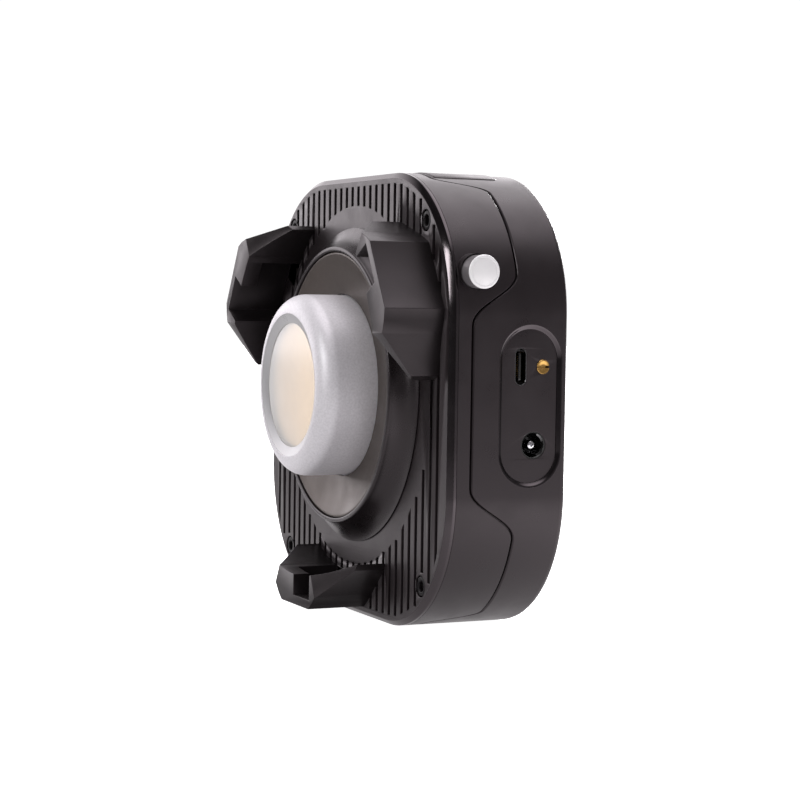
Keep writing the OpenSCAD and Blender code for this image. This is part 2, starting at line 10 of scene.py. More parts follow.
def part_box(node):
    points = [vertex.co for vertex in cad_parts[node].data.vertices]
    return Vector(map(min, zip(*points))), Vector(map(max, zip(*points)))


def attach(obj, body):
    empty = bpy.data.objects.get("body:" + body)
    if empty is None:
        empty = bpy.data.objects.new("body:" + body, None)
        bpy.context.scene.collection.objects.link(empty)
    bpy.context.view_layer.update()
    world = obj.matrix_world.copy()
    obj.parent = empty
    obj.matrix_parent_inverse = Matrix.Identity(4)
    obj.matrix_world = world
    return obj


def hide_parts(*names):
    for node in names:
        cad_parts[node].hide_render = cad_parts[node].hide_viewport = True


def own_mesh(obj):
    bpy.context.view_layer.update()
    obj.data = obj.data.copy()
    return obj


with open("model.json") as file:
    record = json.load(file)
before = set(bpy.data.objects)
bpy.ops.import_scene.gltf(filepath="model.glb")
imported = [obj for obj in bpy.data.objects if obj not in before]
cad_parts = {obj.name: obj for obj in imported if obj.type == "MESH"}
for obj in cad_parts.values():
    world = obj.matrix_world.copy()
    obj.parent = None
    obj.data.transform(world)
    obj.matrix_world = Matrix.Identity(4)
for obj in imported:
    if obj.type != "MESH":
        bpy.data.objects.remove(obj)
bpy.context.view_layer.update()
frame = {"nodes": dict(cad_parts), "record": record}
MM = 0.001
TAU = 2 * math.pi


def span(node, axis):
    """Lowest and highest coordinate of a CAD node along an axis, in millimetres."""
    low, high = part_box(node)
    return low[axis] / MM, high[axis] / MM


def middle(node, *axes):
    """The middle of a CAD node along each of the axes, in millimetres."""
    return tuple(sum(span(node, axis)) / 2 for axis in axes)


X, Y, Z = 0, 1, 2
HALF_W = span("rear_shell", X)[1]
BOTTOM, TOP = span("rear_shell", Z)
HALF_H = (TOP - BOTTOM) / 2
MID_Z = (TOP + BOTTOM) / 2
DEPTH = span("rear_shell", Y)[1]
PLATE_T = span("front_grille", Y)[1]
LAMP_H = -span("lamp_collar", Y)[0]
CLAW_H = -span("claw_bottom", Y)[0]
CLAW_OUT = -span("claw_bottom", Z)[0]
CORNER = 34.5
WALL = 2.2
BEVEL = 1.3
# Depth of the seam in the corners and in the middle of each side, and its width.
SEAM_BACK, SEAM_FRONT, SEAM_GAP = 18.0, 5.9, 0.5
# Where the seam starts to step back, measured from the middle of a side, and over what length it does.
SIDE_STEP, SIDE_BLEND = 18.4, 14.3
TOP_STEP, TOP_BLEND = 31.5, 9
SCREW_X, SCREW_Z = 41.9, (MID_Z + 43.7, MID_Z - 43.7)
REAR_SCREW_X, REAR_SCREW_Z = 40.4, (MID_Z + 42.2, MID_Z - 42.2)
CLAW_ANGLES = {"claw_top_right": 30, "claw_top_left": 150, "claw_bottom": 270}
POST_ANGLES = (90, 210, 330)
POST_R = 46.5


# ---- Shader helpers ----

def remap(tree, value, low_in, high_in, low, high, ease_in="LINEAR"):
    """A value moved from one range to another, and held at its ends."""
    n = tree.nodes.new("ShaderNodeMapRange")
    n.interpolation_type = ease_in
    for key, v in (("From Min", low_in), ("From Max", high_in), ("To Min", low), ("To Max", high)):
        n.inputs[key].default_value = v
    tree.links.new(value, n.inputs["Value"])
    return n.outputs["Result"]


def computed(tree, operation, a, b):
    """The sum or the product of two values."""
    n = tree.nodes.new("ShaderNodeMath")
    n.operation = operation
    tree.links.new(a, n.inputs[0])
    tree.links.new(b, n.inputs[1])
    return n.outputs[0]


def mixed(tree, factor, first, second):
    """The first shader where factor is 0 and the second where it is 1."""
    n = tree.nodes.new("ShaderNodeMixShader")
    for value, socket in zip((factor, first, second), n.inputs):
        tree.links.new(value, socket)
    return n.outputs[0]


def camera_ray(tree):
    """1 for what the camera sees directly, 0 for light on its way to the object."""
    return tree.nodes.new("ShaderNodeLightPath").outputs["Is Camera Ray"]


# ---- Materials ----

def material(name, color, rough, metal=0.0, grain=4000, bump=0.1, depth=0.00002, tint=0.08, wobble=0.06,
             coat=0.0, edge=0.0, streak=None, spec=0.5, emit=0.0, shine=(1, 1, 1), painted_shade_reach=0.0):
    """Principled surface with fine grain, drifting tint and roughness. In millimetres, edge rounds the look
    of sharp edges, and the last argument is the reach of a painted shade: ambient occlusion takes the shine
    away where other faces are that near, in hollows and corners."""
    m = bpy.data.materials.new(name)
    m.use_nodes = True
    tree, nodes, links = m.node_tree, m.node_tree.nodes, m.node_tree.links
    bsdf = nodes["Principled BSDF"]
    where = nodes.new("ShaderNodeTexCoord").outputs["Object"]
    if streak:
        stretch = nodes.new("ShaderNodeMapping")
        stretch.inputs["Scale"].default_value = streak
        links.new(where, stretch.inputs["Vector"])
        fine_where = stretch.outputs["Vector"]
    else:
        fine_where = where

    def noise(scale, detail, vector):
        n = nodes.new("ShaderNodeTexNoise")
        n.inputs["Scale"].default_value = scale
        n.inputs["Detail"].default_value = detail
        links.new(vector, n.inputs["Vector"])
        return n.outputs["Fac"]

    def spread(value, low, high):
        return remap(tree, value, 0.3, 0.7, low, high)

    fine = noise(grain, 3, fine_where)
    broad = noise(55, 3, where)
    mix = nodes.new("ShaderNodeMix")
    mix.data_type = "RGBA"
    mix.inputs["A"].default_value = (*[c * (1 - tint) for c in color], 1)
    mix.inputs["B"].default_value = (*[min(1, c * (1 + tint)) for c in color], 1)
    links.new(computed(tree, "ADD", spread(fine, 0, 0.6), spread(broad, 0, 0.4)), mix.inputs["Factor"])
    links.new(mix.outputs["Result"], bsdf.inputs["Base Color"])
    smudge = noise(130, 4, where)
    rough_sum = computed(tree, "ADD", spread(smudge, rough - wobble, rough + wobble),
                         spread(fine, -wobble / 2, wobble / 2))
    links.new(rough_sum, bsdf.inputs["Roughness"])
    b = nodes.new("ShaderNodeBump")
    b.inputs["Strength"].default_value = bump
    b.inputs["Distance"].default_value = depth
    links.new(fine, b.inputs["Height"])
    if edge:
        soft = nodes.new("ShaderNodeBevel")
        soft.samples = 4
        soft.inputs["Radius"].default_value = edge * MM
        links.new(soft.outputs["Normal"], b.inputs["Normal"])
    links.new(b.outputs["Normal"], bsdf.inputs["Normal"])
    bsdf.inputs["Metallic"].default_value = metal
    bsdf.inputs["Specular IOR Level"].default_value = spec
    # Painted shade: ambient occlusion turns the shine down in hollows and corners, so that they read darker.
    if painted_shade_reach:
        painted_shade_ao = nodes.new("ShaderNodeAmbientOcclusion")
        painted_shade_ao.samples = 6
        painted_shade_ao.inputs["Distance"].default_value = painted_shade_reach * MM
        shine_under_painted_shade = remap(tree, painted_shade_ao.outputs["AO"], 0.35, 0.95, spec * 0.12, spec)
        links.new(shine_under_painted_shade, bsdf.inputs["Specular IOR Level"])
    bsdf.inputs["Coat Weight"].default_value = coat
    bsdf.inputs["Coat Roughness"].default_value = 0.08
    bsdf.inputs["Specular Tint"].default_value = (*shine, 1)
    if emit:
        links.new(mix.outputs["Result"], bsdf.inputs["Emission Color"])
        bsdf.inputs["Emission Strength"].default_value = emit
    return m


WARM = (1, 0.9, 0.94)
# Materials by name. The CAD nodes kept for the inside take theirs by the record's slot name.
M = {
    "casing": material("casing_satin", (0.0105, 0.008, 0.009), 0.34, grain=5200, bump=0.22, edge=0.12,
                       shine=WARM),
    "plate": material("plate_satin", (0.017, 0.0135, 0.0145), 0.36, grain=5200, bump=0.2, edge=0.1,
                      shine=WARM),
    "bevel": material("plate_bevel_polished", (0.075, 0.066, 0.07), 0.15, metal=1.0, grain=3000, bump=0.04,
                      wobble=0.03),
    # The claws carry a painted shade that takes the shine out of their hollows and corners.
    "claw": material("claw_plastic", (0.012, 0.0098, 0.0104), 0.38, grain=4200, bump=0.3, edge=0.15,
                     shine=WARM, painted_shade_reach=14),
    "collar": material("flare_satin", (0.013, 0.0105, 0.0112), 0.3, grain=4200, bump=0.15, shine=WARM),
    "trim": material("trim_brown", (0.075, 0.06, 0.052), 0.4, metal=0.5, grain=2600, bump=0.2, tint=0.14),
    "silver": material("collar_silver", (0.76, 0.745, 0.775), 0.48, metal=0.3, grain=1900, bump=0.8,
                       tint=0.13, depth=0.00003),
    "silver_cap": material("button_silver", (0.97, 0.965, 0.98), 0.34, metal=0.1, grain=7000, bump=0.2,
                           tint=0.04),
    "bezel": material("lamp_bezel_grey", (0.5, 0.5, 0.51), 0.34, metal=0.3, grain=6000, bump=0.1, tint=0.04),
    "emitter": material("phosphor", (0.93, 0.79, 0.64), 0.6, grain=5000, bump=0.1, emit=0.36),
    "ceramic": material("white_ceramic", (0.82, 0.8, 0.75), 0.5, grain=3000, bump=0.1),
    "raw_aluminium": material("milled_aluminium", (0.2, 0.2, 0.21), 0.4, metal=0.9, grain=2500, bump=0.2,
                              streak=(1, 1, 0.05)),
    "steel": material("bright_steel", (0.55, 0.55, 0.57), 0.28, metal=1.0, grain=3000, bump=0.15,
                      streak=(1, 0.1, 1)),
    "black_steel": material("black_oxide", (0.007, 0.006, 0.0065), 0.42, grain=4000, bump=0.15, edge=0.3,
                            spec=0.15),
    "spring_steel": material("spring_wire", (0.5, 0.5, 0.52), 0.3, metal=1.0, grain=3000, bump=0.1),
    "rubber": material("seal_rubber", (0.02, 0.02, 0.02), 0.7, grain=3000, bump=0.3),
    "black_plastic": material("black_plastic", (0.014, 0.0135, 0.014), 0.38, grain=4200, bump=0.2, edge=0.08),
    "stem": material("stem_grey", (0.17, 0.158, 0.165), 0.4, metal=0.3, grain=4200, bump=0.15, edge=0.08),
    "gloss_black": material("gloss_black", (0.006, 0.006, 0.008), 0.06, grain=500, bump=0.0, wobble=0.02,
                            coat=0.6),
    "board": material("circuit_board", (0.01, 0.09, 0.04), 0.3, grain=900, bump=0.1, coat=0.3, tint=0.2),
    "brass": material("brass_contact", (0.6, 0.36, 0.11), 0.22, metal=1.0, grain=3500, bump=0.15,
                      streak=(1, 0.2, 1)),
    "nickel": material("black_nickel", (0.16, 0.155, 0.16), 0.2, metal=1.0, grain=3000, bump=0.05,
                       wobble=0.03),
    "chrome": material("chrome", (0.75, 0.75, 0.77), 0.12, metal=1.0, grain=2500, bump=0.05, wobble=0.03),
    "wire": material("wire_red", (0.45, 0.02, 0.02), 0.45, grain=2500, bump=0.1),
    "socket": material("socket_black", (0.009, 0.009, 0.009), 0.25, grain=3000, bump=0.1, coat=0.2),
}


def glass_material():
    """Cover glass: clear from inside, and from outside hazier towards -X, with a glossy edge."""
    m = bpy.data.materials.new("cover_glass")
    m.use_nodes = True
    tree, nodes, links = m.node_tree, m.node_tree.nodes, m.node_tree.links
    nodes.remove(nodes["Principled BSDF"])
    clear = nodes.new("ShaderNodeBsdfTransparent")
    clear.inputs["Color"].default_value = (0.97, 0.96, 0.94, 1)
    haze = nodes.new("ShaderNodeBsdfDiffuse")
    haze.inputs["Color"].default_value = (0.93, 0.92, 0.9, 1)
    shine = nodes.new("ShaderNodeBsdfGlossy")
    shine.inputs["Roughness"].default_value = 0.12
    wave = nodes.new("ShaderNodeTexNoise")
    wave.inputs["Scale"].default_value = 90
    where = nodes.new("ShaderNodeTexCoord").outputs["Object"]
    links.new(where, wave.inputs["Vector"])
    side = nodes.new("ShaderNodeSeparateXYZ")
    links.new(where, side.inputs[0])
    veil = computed(tree, "ADD", remap(tree, wave.outputs["Fac"], 0, 1, 0.28, 0.44),
                    remap(tree, side.outputs["X"], -0.015, 0.012, 0.5, 0.0))
    edge = nodes.new("ShaderNodeFresnel")
    edge.inputs["IOR"].default_value = 1.45
    pane = mixed(tree, veil, clear.outputs[0], haze.outputs[0])
    front = mixed(tree, edge.outputs[0], pane, shine.outputs[0])
    behind = nodes.new("ShaderNodeNewGeometry").outputs["Backfacing"]
    links.new(mixed(tree, behind, front, clear.outputs[0]), nodes["Material Output"].inputs["Surface"])
    return m


M["diffuser"] = glass_material()


# ---- Mesh helpers (all sizes in millimetres) ----

def new_object(name, verts, faces, mat, smooth=35):
    """A linked object with its doubles merged and its normals outwards."""
    mesh = bpy.data.meshes.new(name)
    mesh.from_pydata([Vector(v) * MM for v in verts], [], faces)
    bm = bmesh.new()
    bm.from_mesh(mesh)
    bmesh.ops.remove_doubles(bm, verts=bm.verts, dist=1e-8)
    bmesh.ops.recalc_face_normals(bm, faces=bm.faces)
    bm.to_mesh(mesh)
    bm.free()
    obj = bpy.data.objects.new(name, mesh)
    bpy.context.scene.collection.objects.link(obj)
    if mat:
        mesh.materials.append(M[mat])
    smooth_by(obj, smooth)
    return obj


def smooth_by(obj, degrees):
    """Shades smooth, apart from edges sharper than the angle."""
    obj.data.polygons.foreach_set("use_smooth", [True] * len(obj.data.polygons))
    obj.data.set_sharp_from_angle(angle=math.radians(degrees))


def bake(obj):
    """Applies the object's modifiers to its mesh."""
    bpy.context.view_layer.update()
    shaped = obj.evaluated_get(bpy.context.evaluated_depsgraph_get())
    mesh = bpy.data.meshes.new_from_object(shaped)
    obj.modifiers.clear()
    obj.data = mesh


def carve(obj, cutter):
    """Cuts the cutter out of obj; the cutter is used up."""
    mod = obj.modifiers.new("cut", "BOOLEAN")
    mod.operation = "DIFFERENCE"
    mod.solver = "EXACT"
    mod.object = cutter
    bake(obj)
    bpy.data.objects.remove(cutter)
    smooth_by(obj, 35)


def settle(obj, degrees=35):
    """Smooths by angle and weighs the normals by area, so that flat faces stay flat."""
    smooth_by(obj, degrees)
    mod = obj.modifiers.new("weigh", "WEIGHTED_NORMAL")
    mod.keep_sharp = True
    bake(obj)
    return obj


def round_edges(obj, width):
    """Merges flat faces, then rounds every sharp edge."""
    bm = bmesh.new()
    bm.from_mesh(obj.data)
    bmesh.ops.remove_doubles(bm, verts=bm.verts, dist=2e-6)
    bmesh.ops.dissolve_limit(bm, angle_limit=math.radians(0.6), verts=bm.verts, edges=bm.edges)
    bm.to_mesh(obj.data)
    bm.free()
    mod = obj.modifiers.new("round", "BEVEL")
    mod.width = width * MM
    mod.segments = 3
    mod.limit_method = "ANGLE"
    mod.angle_limit = math.radians(28)
    bake(obj)
    settle(obj)


def rings(name, loops, mat, closed=False, smooth=35):
    """Skins a list of equal-length point loops, and joins its ends if closed or else caps them."""
    n = len(loops[0])
    verts = [p for loop in loops for p in loop]
    faces = []
    for r in range(len(loops) - (0 if closed else 1)):
        a, b = r * n, ((r + 1) % len(loops)) * n
        faces += [(a + i, a + (i + 1) % n, b + (i + 1) % n, b + i) for i in range(n)]
    if not closed:
        faces += [tuple(range(n)), tuple(range((len(loops) - 1) * n, len(loops) * n))]
    return new_object(name, verts, faces, mat, smooth)


def placed(a, b, depth, axis):
    """The point at depth along an axis: a, b are (x, z) for y, (y, z) for x and (x, y) for z."""
    return (a, depth, b) if axis == "y" else (depth, a, b) if axis == "x" else (a, b, depth)


def turned(name, profile, mat, axis="y", at=(0, 0), n=160, closed=True, radius=None, smooth=35):
    """Turns a (radius, position) profile about a line along axis through at. radius(k, r, angle) may reshape
    point k of the profile."""
    loops = []
    for k, (r, p) in enumerate(profile):
        loop = []
        for i in range(n):
            a = TAU * i / n
            q = radius(k, r, a) if radius else r
            loop.append(placed(at[0] + q * math.cos(a), at[1] + q * math.sin(a), p, axis))
        loops.append(loop)
    return rings(name, loops, mat, closed=closed, smooth=smooth)


def rod(name, r, low, high, axis, at, n):
    """A plain cylinder, for cutting a hole."""
    return turned(name, [(0.01, low), (r, low), (r, high), (0.01, high)], None, axis, at, n, closed=False)


def arc(cx, cy, r, a0, a1, n=8):
    """Points on a circle from angle a0 to a1, in degrees."""
    return [(cx + r * math.cos(math.radians(a0 + (a1 - a0) * i / n)),
             cy + r * math.sin(math.radians(a0 + (a1 - a0) * i / n))) for i in range(n + 1)]


def prism(name, points, low, high, axis="y", mat=None):
    """A flat outline given thickness along an axis."""
    return rings(name, [[placed(*p, depth, axis) for p in points] for depth in (low, high)], mat)


def block(name, lo, hi):
    """A box between two corners."""
    return prism(name, [(lo[0], lo[2]), (hi[0], lo[2]), (hi[0], hi[2]), (lo[0], hi[2])], lo[1], hi[1])


def join(name, objs):
    """One new mesh made of several, each with its own material; they are used up."""
    bm = bmesh.new()
    mats = []
    for o in objs:
        start = len(bm.faces)
        bm.from_mesh(o.data)
        bm.faces.ensure_lookup_table()
        shift = []
        for m in o.data.materials:
            if m not in mats:
                mats.append(m)
            shift.append(mats.index(m))
        for f in bm.faces[start:]:
            f.material_index = shift[f.material_index] if shift else 0
    mesh = bpy.data.meshes.new(name)
    bm.to_mesh(mesh)
    bm.free()
    for m in mats:
        mesh.materials.append(m)
    for o in objs:
        bpy.data.objects.remove(o)
    obj = bpy.data.objects.new(name, mesh)
    bpy.context.scene.collection.objects.link(obj)
    return obj


def fit(obj, body, slot, *nodes):
    """Rides on a body and stands for CAD nodes, which it hides; slot is not used."""
    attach(obj, body)
    if nodes:
        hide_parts(*nodes)
    return obj


def sheet(name, outer, holes, low, high, edge, mat, axis="y", steps=2):
    """A flat sheet with holes and rounded edges, between low and high along the x or y axis."""
    curve = bpy.data.curves.new(name, "CURVE")
    curve.dimensions = "2D"
    curve.fill_mode = "BOTH"
    curve.extrude = ((high - low) / 2 - edge) * MM
    curve.bevel_depth = edge * MM
    curve.bevel_resolution = steps
    for points in [outer] + holes:
        s = curve.splines.new("POLY")
        s.points.add(len(points) - 1)
        for q, p in zip(s.points, points):
            q.co = (p[0] * MM, p[1] * MM, 0, 1)
        s.use_cyclic_u = True
    shape = bpy.data.objects.new(name, curve)
    bpy.context.scene.collection.objects.link(shape)
    bpy.context.view_layer.update()
    mesh = bpy.data.meshes.new_from_object(shape.evaluated_get(bpy.context.evaluated_depsgraph_get()))
    bpy.data.objects.remove(shape)
    mid = (low + high) / 2 * MM
    across = ((1, 0, 0, 0), (0, 0, 1, mid)) if axis == "y" else ((0, 0, 1, mid), (1, 0, 0, 0))
    mesh.transform(Matrix((*across, (0, 1, 0, 0), (0, 0, 0, 1))))
    bm = bmesh.new()
    bm.from_mesh(mesh)
    bmesh.ops.remove_doubles(bm, verts=bm.verts, dist=1e-6)
    bmesh.ops.recalc_face_normals(bm, faces=bm.faces)
    bm.to_mesh(mesh)
    bm.free()
    mesh.materials.clear()
    mesh.materials.append(M[mat])
    obj = bpy.data.objects.new(name, mesh)
    bpy.context.scene.collection.objects.link(obj)
    return settle(obj, 30)


# ---- Outlines ----

def circle(r, x=0, z=0, n=96):
    """Points all the way round a circle."""
    return [(x + r * math.cos(TAU * i / n), z + r * math.sin(TAU * i / n)) for i in range(n)]


def stadium(half_a, half_b, x=0, z=0, n=24):
    """A slot outline, half_a wide and half_b high from its middle, with round ends."""
    c = half_b - half_a
    return arc(x, z + c, half_a, 0, 180, n) + arc(x, z - c, half_a, 180, 360, n)


QUARTERS = ((1, 1), (-1, 1), (-1, -1), (1, -1))


def rounded(hx, hz, r, x=0, z=0, n=6):
    """A rectangle with round corners, hx wide and hz high from its middle."""
    points = []
    for k, (sx, sz) in enumerate(QUARTERS):
        points += arc(x + sx * (hx - r), z + sz * (hz - r), r, 90 * k, 90 * k + 90, n)
    return points


OUTLINE_STEP = 0.55


def body_outline(inset=0.0):
    """Points (x, z) round the casing; the same count for every inset."""
    cx, cz = HALF_W - CORNER, HALF_H - CORNER
    n_arc = int(CORNER * math.pi / 2 / OUTLINE_STEP)
    points = []
    for k, (sx, sz) in enumerate(QUARTERS):
        points += arc(sx * cx, MID_Z + sz * cz, CORNER - inset, 90 * k, 90 * k + 90, n_arc)
        tx, tz = QUARTERS[(k + 1) % 4]
        ax, az = points[-1]
        bx, bz = arc(tx * cx, MID_Z + tz * cz, CORNER - inset, 90 * (k + 1), 90 * (k + 1), 1)[0]
        count = int((2 * cx if k % 2 == 0 else 2 * cz) / OUTLINE_STEP)
        points += [(ax + (bx - ax) * i / count, az + (bz - az) * i / count) for i in range(1, count)]
    return points


def outline_height(x, inset):
    """Half height of the casing outline, drawn smaller by inset, at x."""
    cx, cz, r = HALF_W - CORNER, HALF_H - CORNER, CORNER - inset
    over = abs(x) - cx
    if over <= 0:
        return HALF_H - inset
    return cz + math.sqrt(r * r - over * over) if over < r else 0


def ease(t):
    """From 0 to 1 with no kink at either end."""
    t = max(0.0, min(1.0, t))
    return t * t * t * (t * (6 * t - 15) + 10)


def seam(x, z):
    """Where the rear casing meets the front casing, as a depth, at a point of the outline."""
    side = ease((abs(z - MID_Z) - SIDE_STEP) / SIDE_BLEND)
    top = ease((abs(x) - TOP_STEP) / TOP_BLEND)
    return SEAM_FRONT + (SEAM_BACK - SEAM_FRONT) * min(side, top)


# ---- Claws ----

# Seen from the front, u runs round the rim and v outwards, both from the lamp's axis.
CLAW_SIDE, CLAW_INNER = 21.3, 48.4
TIP_U = 9
CHIN_U, CHIN_V = 11.2, 54.4
SHOULDER_LEFT, SHOULDER_RIGHT, SHOULDER_V = -13.5, 13.9, 52
CHEEK_LEFT_V, CHEEK_RIGHT_V = 45.6, 45
# A sloping cut on each side of the head: a point on it (u, v), its tilt and its turn.
FLANKS = ((-10.6, 46.8, 107.7, -126.2), (10.1, 46.5, 104, -58.4))
# The hollow of the head, which opens through its face in the right half.
HOLLOW_LEFT, HOLLOW_RIGHT, HOLLOW_IN, HOLLOW_OUT = -8.6, 9.6, 40, 53.7
WINDOW_LEFT, FACE_T = -0.9, 4.4


def claw_outline(grow=0.0):
    """The claw seen from the front, drawn larger by grow."""
    g, h = grow, grow * 0.4
    inner = CLAW_INNER - g
    reach = math.degrees(math.asin(CLAW_SIDE / inner))
    curve = arc(0, 0, inner, 90 - reach, 90 + reach, 40)
    rim = [(CLAW_SIDE + g, curve[0][1])] + curve[1:-1] + [(-CLAW_SIDE - g, curve[-1][1])]
    left = [(-CLAW_SIDE - g, CHEEK_LEFT_V + h), (SHOULDER_LEFT - h, SHOULDER_V + g)]
    tip = [(-CHIN_U - h, CHIN_V + g), (-TIP_U, CLAW_OUT + g), (TIP_U, CLAW_OUT + g), (CHIN_U + h, CHIN_V + g)]
    right = [(SHOULDER_RIGHT + h, SHOULDER_V + g), (CLAW_SIDE + g, CHEEK_RIGHT_V + h)]
    return left + tip + right + rim


def claw_turn(angle):
    """From (u, depth, v) to the row frame: u = (-sin, cos), v = (cos, sin) in X and Z."""
    s, c = math.sin(math.radians(angle)), math.cos(math.radians(angle))
    return Matrix(((-s, 0, c, 0), (0, 1, 0, 0), (c, 0, s, 0), (0, 0, 0, 1)))


def claw_mesh(name, angle, back):
    """One claw with its sloping flanks and its hollow head, turned to its place on the rim."""
    body = prism(name, claw_outline(), -CLAW_H, back, mat="claw")
    for u, v, tilt, turn in FLANKS:
        cutter = block("flank", (-20, -20, 0), (20, 20, 20))
        cutter.data.transform(Matrix.Rotation(math.radians(tilt), 4, "Y"))
        cutter.data.transform(Matrix.Rotation(math.radians(turn), 4, "Z"))
        cutter.data.transform(Matrix.Translation(Vector((u, -CLAW_H, v)) * MM))
        carve(body, cutter)
    carve(body, block("window", (WINDOW_LEFT, -CLAW_H - 2, HOLLOW_IN), (HOLLOW_RIGHT, 1, HOLLOW_OUT)))
    carve(body, block("pocket", (HOLLOW_LEFT, -CLAW_H + FACE_T, HOLLOW_IN), (HOLLOW_RIGHT, 0, HOLLOW_OUT)))
    round_edges(body, 0.5)
    body.data.transform(claw_turn(angle))
    body.data.flip_normals()
    return body


for node, angle in CLAW_ANGLES.items():
    fit(claw_mesh(node + "_moulding", angle, span(node, Y)[1]), "claws", "claw", node)


# ---- Front plate ----

SLOT_PITCH, SLOT_W, SLOT_IN = 3.71, 1.7, 45.6
SLOT_PAIRS, SLOT_MIN = 14, 1.6
SLOT_EDGE = 1.2 + BEVEL
SLOT_STEP, SLOT_CORNER = 0.05, 0.22
SCREW_CLEAR = 3.2
# How far a slot reaches in under a claw's opening, so that the claw's edge hides its end.
UNDER_CLAW = 0.5
# The claw's outer edge as lines: each ends at u, where it is at v, and rises by slope towards the middle.
CLAW_EDGE = ((TIP_U, CLAW_OUT, 0), (CHIN_U, CHIN_V, 0.73), (13.7, SHOULDER_V, 0.96))
CHEEK_SLOPE = 0.93


def claw_reach(u):
    """How far out from the axis a claw's outer edge is."""
    for corner, v, slope in CLAW_EDGE:
        if abs(u) < corner:
            return v + (corner - abs(u)) * slope
    return v + (corner - abs(u)) * CHEEK_SLOPE


def in_claw(x, z, grow):
    """Whether a claw, drawn larger by grow, covers a point of the plate."""
    for angle in CLAW_ANGLES.values():
        a = math.radians(angle)
        u, v = -x * math.sin(a) + z * math.cos(a), x * math.cos(a) + z * math.sin(a)
        beside = math.hypot(u, v) < CLAW_INNER - grow or abs(u) > CLAW_SIDE + grow
        if v > 0 and not beside and v < claw_reach(u) + grow:
            return True
    return False


def open_here(x, z):
    """Whether a slot may cut the plate at a point."""
    if abs(z - MID_Z) > outline_height(x, SLOT_EDGE) or math.hypot(x, z) < SLOT_IN:
        return False
    if any(math.hypot(abs(x) - SCREW_X, z - s) < SCREW_CLEAR for s in SCREW_Z):
        return False
    return not in_claw(x, z, -UNDER_CLAW)


def runs(x):
    """The stretches of z that a slot at x may take."""
    found, start, z = [], None, MID_Z - 56
    while z < MID_Z + 56:
        if open_here(x, z):
            start = z if start is None else start
        elif start is not None:
            found.append((start, z - SLOT_STEP))
            start = None
        z += SLOT_STEP
    return [r for r in found if r[1] - r[0] > SLOT_MIN]


def slot_end(points, way):
    """The end of a slot, with its two corners cut off towards way."""
    (x0, z0), (x1, z1), c = points[0], points[-1], SLOT_CORNER
    return [(x0, z0 + way * c), (x0 + c, z0)] + points[1:-1] + [(x1 - c, z1), (x1, z1 + way * c)]


def slots():
    """Outlines of the upright slots, in pairs from the middle of the plate outwards."""
    shapes = []
    for i in range(SLOT_PAIRS):
        for s in (-1, 1):
            x0 = s * (i + 0.5) * SLOT_PITCH
            across = [x0 + SLOT_W * (k / 4 - 0.5) for k in range(5)]
            stretches = [runs(x) for x in across]
            if len({len(r) for r in stretches}) > 1:
                stretches = [min(stretches, key=len)] * 5
            for k in range(len(stretches[0])):
                low = slot_end([(x, r[k][0]) for x, r in zip(across, stretches)], 1)
                high = slot_end([(x, r[k][1]) for x, r in zip(across, stretches)], -1)
                shapes.append(low + high[::-1])
    return shapes


SCREW_HOLE_R, COLLAR_HOLE_R = 2.75, 40.1
screw_holes = [circle(SCREW_HOLE_R, sx * SCREW_X, z) for sx in (-1, 1) for z in SCREW_Z]
holes = [circle(COLLAR_HOLE_R, n=220)] + screw_holes + slots()
field = sheet("plate_field", body_outline(BEVEL + 0.08), holes, 0, PLATE_T, 0.14, "plate")
for angle in CLAW_ANGLES.values():
    opening = prism("opening", claw_outline(0.22), -2, PLATE_T + 2)
    opening.data.transform(claw_turn(angle))
    carve(field, opening)
smooth_by(field, 30)
# The polished band round the plate: (inset from the outline, depth).
band_profile = [(BEVEL + 0.1, 0.3), (BEVEL + 0.06, 0.01), (BEVEL - 0.03, 0.03), (BEVEL - 0.12, 0.1),
                (0.65, 0.62), (0.1, 1.16), (0.03, 1.25), (0, 1.36), (0.02, PLATE_T - 0.04), (0.2, PLATE_T),
                (BEVEL + 0.1, PLATE_T)]
band_loops = [[(x, y, z) for x, z in body_outline(i)] for i, y in band_profile]
band = rings("plate_band", band_loops, "bevel", closed=True, smooth=50)
fit(join("front_plate", [field, band]), "body", "plate", "front_grille")


# ---- Screws ----

def hex_radius(flat, a):
    """Distance from the middle of a hexagon, flat wide to each side, to its edge at angle a."""
    return flat / math.cos((a + math.pi / 6) % (math.pi / 3) - math.pi / 6)


SHANK_R, HEAD_T = 1.3, 1.2


def socket_screw(head_r, face, tip, x, z):
    """A black cap screw with a hexagonal socket, whose head faces away from tip."""
    d = 1 if tip > face else -1
    flat = head_r * 0.5
    shank = [(SHANK_R, tip), (SHANK_R, face + d * HEAD_T)]
    head = [(head_r, face + d * HEAD_T), (head_r, face + d * 0.25), (head_r - 0.07, face + d * 0.08),
            (head_r - 0.25, face), (flat * 1.28, face), (flat * 1.12, face + d * 0.14)]
    hexagon = [(flat, face + d * 0.3), (flat, face + d * 1.05)]
    floor = [(flat * 0.35, face + d * 1.2), (0.01, face + d * 1.2)]
    return turned("screw", shank + head + hexagon + floor, "black_steel", at=(x, z), n=48, closed=False,
                  radius=lambda k, r, a: hex_radius(r, a) if k in (8, 9) else r)


face_y = span("grille_screws", Y)[0]
screws = []
for sx in (-1, 1):
    for z in SCREW_Z:
        rim = [(SCREW_HOLE_R - 0.01, 0.05), (SCREW_HOLE_R - 0.01, 1.5), (2.5, 1.5), (2.64, 0.12)]
        screws.append(socket_screw(2.4, face_y, 8, sx * SCREW_X, z))
        screws.append(turned("rim", rim, "bevel", at=(sx * SCREW_X, z), n=64))
fit(join("plate_screws", screws), "body", "black_steel", "grille_screws")


# ---- Lamp ----

